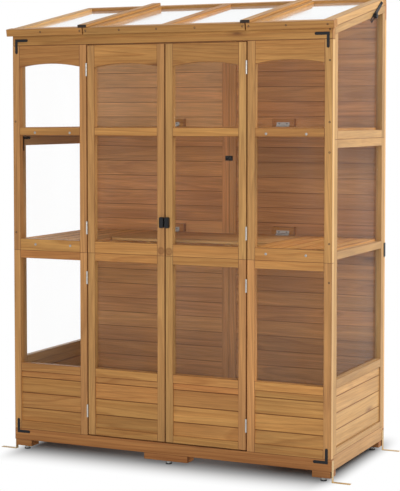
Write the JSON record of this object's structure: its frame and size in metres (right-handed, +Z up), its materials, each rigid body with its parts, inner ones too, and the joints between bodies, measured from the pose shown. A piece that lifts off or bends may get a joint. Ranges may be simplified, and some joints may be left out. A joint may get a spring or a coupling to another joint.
{
  "type": "wooden greenhouse cabinet",
  "caption": "Tall glazed wooden greenhouse cabinet with double doors, boarded skirt and back, slatted shelves, a pitched glazed roof and hinged vent lids held by slotted stays.",
  "frame": {"origin": "on the ground under the middle of the whole outline", "axes": "+Z up, the doors face -Y, +X to the right seen from the front"},
  "size_m": [1.602, 0.7136, 1.9582],
  "materials": {
    "fir": "honey-coloured stain",
    "clear_pane": "clear sheet",
    "zinc_steel": "zinc plated",
    "black_steel": "black powder coat",
    "anchor_steel": "yellow zinc",
    "glide_plastic": "moulded",
    "knob_plastic": "moulded"
  },
  "bodies": {
    "cabinet": {"base_rails": "fir", "foot_blocks": "fir", "foot_glides": "glide_plastic", "ground_anchors": "anchor_steel", "front_left_frame": "fir", "front_right_frame": "fir", "header_rail": "fir", "left_side_frame": "fir", "right_side_frame": "fir", "skirt_boards": "fir", "left_gable_frame": "fir", "right_gable_frame": "fir", "wall_panes": "clear_pane", "back_left_frame": "fir", "back_right_frame": "fir", "back_boards": "fir", "back_top_rail": "fir", "left_mid_shelf": "fir", "right_mid_shelf": "fir", "left_upper_shelf": "fir", "right_upper_shelf": "fir", "shelf_bolts": "zinc_steel", "shelf_cleats": "fir", "centre_roof_frame": "fir", "centre_roof_panes": "clear_pane", "stay_studs": "black_steel", "corner_brackets": "black_steel", "seam_plates": "black_steel", "hinge_fixed_leaves": "zinc_steel", "hinge_pins": "zinc_steel"},
    "left_door": {"left_door_frame": "fir", "left_door_boards": "fir", "left_door_panes": "clear_pane", "left_door_straps": "black_steel", "left_door_hinge_leaves": "zinc_steel", "latch_keeper": "black_steel"},
    "right_door": {"right_door_frame": "fir", "right_door_boards": "fir", "right_door_panes": "clear_pane", "right_door_straps": "black_steel", "right_door_hinge_leaves": "zinc_steel", "latch_housing": "black_steel"},
    "bolt": {"latch_bolt": "black_steel"},
    "left_lid": {"left_lid_frame": "fir", "left_lid_pane": "clear_pane", "left_lid_fittings": "black_steel", "left_lid_leaves": "zinc_steel"},
    "right_lid": {"right_lid_frame": "fir", "right_lid_pane": "clear_pane", "right_lid_fittings": "black_steel", "right_lid_leaves": "zinc_steel"},
    "left_stay": {"left_stay_arm": "black_steel"},
    "right_stay": {"right_stay_arm": "black_steel"},
    "left_knob": {"left_stay_knob": "knob_plastic"},
    "right_knob": {"right_stay_knob": "knob_plastic"},
    "mid_shelf": {"mid_folding_shelf": "fir", "mid_shelf_leaves": "zinc_steel"},
    "upper_shelf": {"upper_folding_shelf": "fir", "upper_shelf_leaves": "zinc_steel"}
  },
  "joints": [
    {"name": "left_door_swing", "type": "hinge", "parent": "cabinet", "child": "left_door", "pos_m": [-0.36375, -0.3256, 0.9], "axis": [0, 0, -1], "range_deg": [0, 170]},
    {"name": "right_door_swing", "type": "hinge", "parent": "cabinet", "child": "right_door", "pos_m": [0.36375, -0.3256, 0.9], "axis": [0, 0, 1], "range_deg": [0, 170]},
    {"name": "latch_slide", "type": "slide", "parent": "right_door", "child": "bolt", "axis": [-1, 0, 0], "range_m": [0, 0.011]},
    {"name": "left_lid_tilt", "type": "hinge", "parent": "cabinet", "child": "left_lid", "pos_m": [-0.55, 0.3528, 1.91794], "axis": [-1, 0, 0], "range_deg": [0, 35]},
    {"name": "right_lid_tilt", "type": "hinge", "parent": "cabinet", "child": "right_lid", "pos_m": [0.55, 0.3528, 1.91794], "axis": [-1, 0, 0], "range_deg": [0, 35]},
    {"name": "left_stay_turn", "type": "hinge", "parent": "left_lid", "child": "left_stay", "pos_m": [-0.7278, 0.27144, 1.91712], "axis": [1, 0, 0], "range_deg": [0, 48]},
    {"name": "right_stay_turn", "type": "hinge", "parent": "right_lid", "child": "right_stay", "pos_m": [0.7278, 0.27144, 1.91712], "axis": [1, 0, 0], "range_deg": [0, 48]},
    {"name": "left_knob_turn", "type": "hinge", "parent": "cabinet", "child": "left_knob", "pos_m": [-0.7356, 0.1734, 1.86001], "axis": [1, 0, 0], "continuous": true},
    {"name": "right_knob_turn", "type": "hinge", "parent": "cabinet", "child": "right_knob", "pos_m": [0.7356, 0.1734, 1.86001], "axis": [1, 0, 0], "continuous": true},
    {"name": "mid_shelf_fold", "type": "hinge", "parent": "cabinet", "child": "mid_shelf", "pos_m": [0, 0.304, 0.9218], "axis": [-1, 0, 0], "range_deg": [0, 90]},
    {"name": "upper_shelf_fold", "type": "hinge", "parent": "cabinet", "child": "upper_shelf", "pos_m": [0, 0.304, 1.3988], "axis": [-1, 0, 0], "range_deg": [0, 90]}
  ],
  "couplings": [
    {"joint": "left_stay_turn", "follows": "left_lid_tilt", "ratio": 1.35},
    {"joint": "right_stay_turn", "follows": "right_lid_tilt", "ratio": 1.35}
  ]
}
